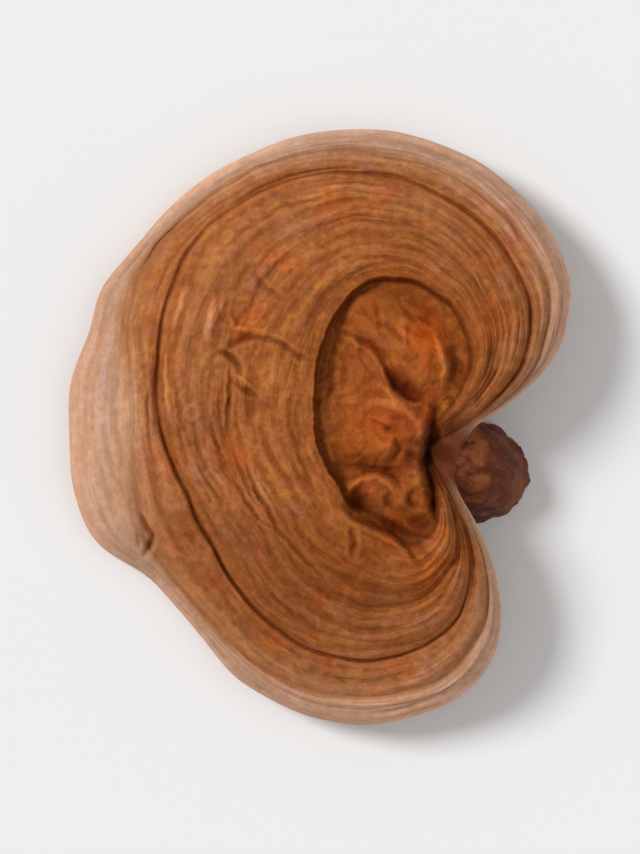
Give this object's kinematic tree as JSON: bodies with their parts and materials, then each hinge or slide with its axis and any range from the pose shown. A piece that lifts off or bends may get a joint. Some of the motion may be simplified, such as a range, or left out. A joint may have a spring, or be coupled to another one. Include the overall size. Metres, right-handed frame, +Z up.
{
  "type": "reishi mushroom",
  "caption": "Dried kidney-shaped woody bracket mushroom with ringed cap, pale margin, knobbly umbo and a short side stem cut flat, lying on its pore side.",
  "frame": {"origin": "under the middle of the whole mushroom, on the surface that it rests on", "axes": "+Z up; +X towards the notch where the stem leaves the cap, -X towards the front margin; +Y along the cap's width"},
  "size_m": [0.066, 0.0785, 0.0178],
  "materials": {
    "cap": "matte, dusted with brown spores",
    "stem": "dark varnished crust, pale woody cut"
  },
  "bodies": {
    "root": {"cap": "cap", "stem": "stem"}
  },
  "joints": []
}
